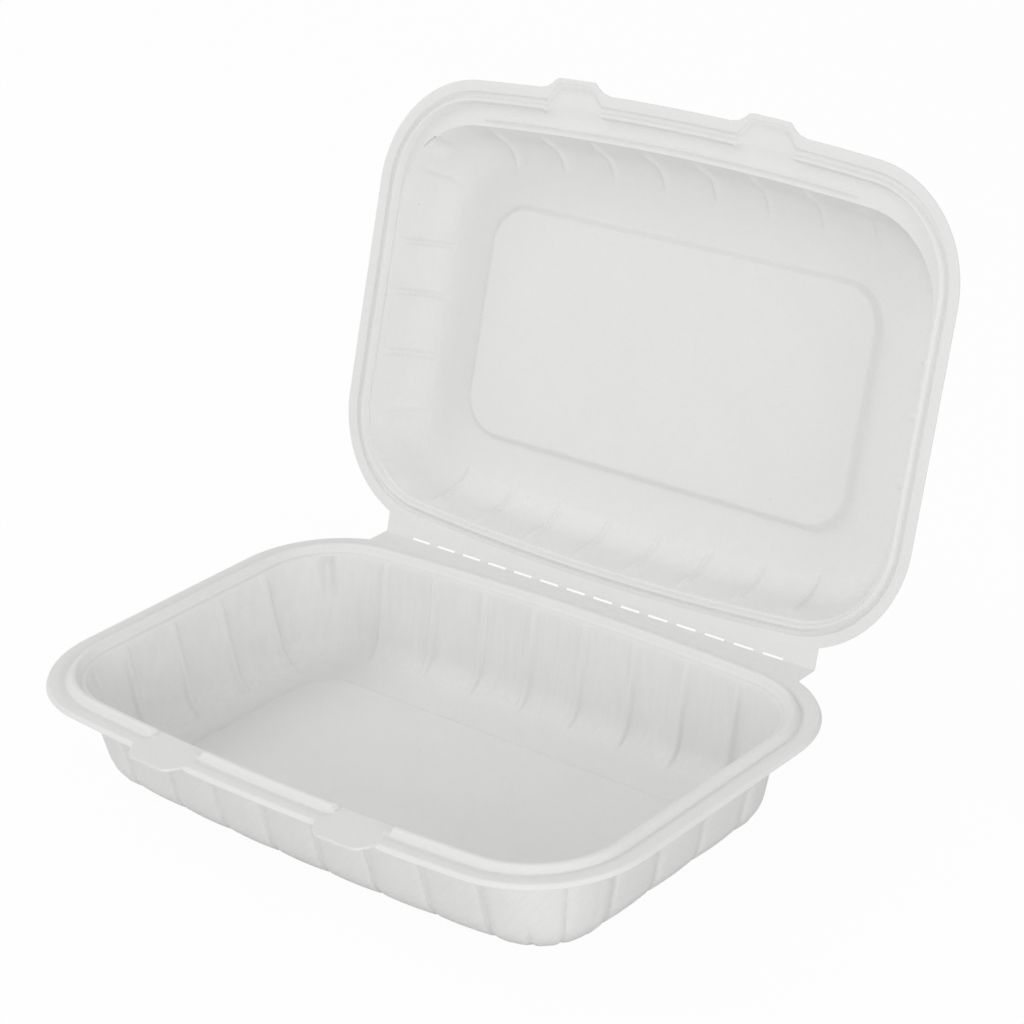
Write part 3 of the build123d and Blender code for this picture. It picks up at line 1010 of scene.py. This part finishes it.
def floor_material():
    """Floor that the camera sees as white paper with a trace of the object's shadow on it."""
    mat = bpy.data.materials.new("studio_floor")
    mat.use_nodes = True
    nodes, links = mat.node_tree.nodes, mat.node_tree.links
    nodes.clear()
    out = nodes.new("ShaderNodeOutputMaterial")
    paper = nodes.new("ShaderNodeBsdfDiffuse")
    paper.inputs["Color"].default_value = (0.86, 0.86, 0.86, 1.0)
    glow = nodes.new("ShaderNodeEmission")
    glow.inputs["Color"].default_value = (1.0, 1.0, 1.0, 1.0)
    glow.inputs["Strength"].default_value = 1.0
    rays = nodes.new("ShaderNodeLightPath")
    share = calculated(nodes, links, "MULTIPLY", rays.outputs["Is Camera Ray"], 0.96)
    mix = nodes.new("ShaderNodeMixShader")
    links.new(share, mix.inputs["Fac"])
    links.new(paper.outputs["BSDF"], mix.inputs[1])
    links.new(glow.outputs["Emission"], mix.inputs[2])
    links.new(mix.outputs["Shader"], out.inputs["Surface"])
    return mat


class CLAMSHELL_OT_studio(bpy.types.Operator):
    """Sets the pale floor, the soft lights and the camera of the photograph"""

    bl_idname = "clamshell.studio"
    bl_label = "Studio"

    def execute(self, context):
        deselect_all()
        bpy.ops.mesh.primitive_plane_add(size=8.0, location=(0.0, 0.0, -0.0002))
        floor = bpy.context.object
        floor.name = "studio_floor"
        floor.data.materials.append(floor_material())
        scene = context.scene
        world = bpy.data.worlds.new("studio")
        scene.world = world
        world.use_nodes = True
        nodes, links = world.node_tree.nodes, world.node_tree.links
        back = nodes["Background"]
        back.inputs["Color"].default_value = (1.0, 1.0, 1.0, 1.0)
        rays = nodes.new("ShaderNodeLightPath")
        level = spread(nodes, links, rays.outputs["Is Camera Ray"], 0.0, 1.0, SKY_LIGHT, SKY_SEEN)
        links.new(level, back.inputs["Strength"])
        for name, spot, width, power in LIGHTS:
            bpy.ops.object.light_add(type="AREA", location=spot)
            lamp = bpy.context.object
            lamp.name = name
            lamp.data.shape = "DISK"
            lamp.data.size = width
            lamp.data.energy = power
            way = Vector(LIGHT_AIM) - Vector(spot)
            lamp.rotation_euler = way.to_track_quat("-Z", "Y").to_euler()
        azimuth, elevation, roll = (math.radians(turn) for turn in CAMERA_TURNS)
        level_reach = math.cos(elevation)
        behind = Vector(
            (
                math.sin(azimuth) * level_reach,
                -math.cos(azimuth) * level_reach,
                math.sin(elevation),
            )
        )
        right = Vector((math.cos(azimuth), math.sin(azimuth), 0.0))
        up = behind.cross(right)
        side = right * math.cos(roll) + up * math.sin(roll)
        over = up * math.cos(roll) - right * math.sin(roll)
        bpy.ops.object.camera_add(location=Vector(CAMERA_TARGET) + behind * CAMERA_DISTANCE)
        camera = bpy.context.object
        camera.name = "photo_camera"
        camera.rotation_euler = Matrix((side, over, behind)).transposed().to_euler()
        camera.data.sensor_width = SENSOR_WIDTH
        camera.data.lens = SENSOR_WIDTH * FOCAL_PIXELS / IMAGE_PIXELS
        camera.data.shift_x, camera.data.shift_y = CAMERA_SHIFT
        camera.data.clip_start = 0.05
        camera.data.clip_end = 50.0
        scene.camera = camera
        scene.view_settings.view_transform = "Standard"
        return {"FINISHED"}


class CLAMSHELL_PT_panel(bpy.types.Panel):
    """Lists the steps of the container and its sizes"""

    bl_idname = "CLAMSHELL_PT_panel"
    bl_label = "Clamshell container"
    bl_space_type = "VIEW_3D"
    bl_region_type = "UI"
    bl_category = "Clamshell"

    def draw(self, context):
        layout = self.layout
        for step in STEPS:
            layout.operator(step.bl_idname)
        for group in (context.scene.clamshell_sizes, context.scene.clamshell_finish):
            for prop in group.bl_rna.properties:
                if prop.identifier not in GROUP_BASICS:
                    layout.prop(group, prop.identifier)


STEPS = (
    CLAMSHELL_OT_tray_shell,
    CLAMSHELL_OT_lid_shell,
    CLAMSHELL_OT_fold_strip,
    CLAMSHELL_OT_studio,
)
CLASSES = (ClamshellSizes, ClamshellFinish, *STEPS, CLAMSHELL_PT_panel)


def register():
    for cls in CLASSES:
        bpy.utils.register_class(cls)
    bpy.types.Scene.clamshell_sizes = bpy.props.PointerProperty(type=ClamshellSizes)
    bpy.types.Scene.clamshell_finish = bpy.props.PointerProperty(type=ClamshellFinish)


def unregister():
    del bpy.types.Scene.clamshell_finish
    del bpy.types.Scene.clamshell_sizes
    for cls in reversed(CLASSES):
        bpy.utils.unregister_class(cls)


def main():
    register()
    bpy.ops.clamshell.tray_shell()
    bpy.ops.clamshell.lid_shell()
    bpy.ops.clamshell.fold_strip()
    bpy.ops.clamshell.studio()


if __name__ == "__main__":
    main()
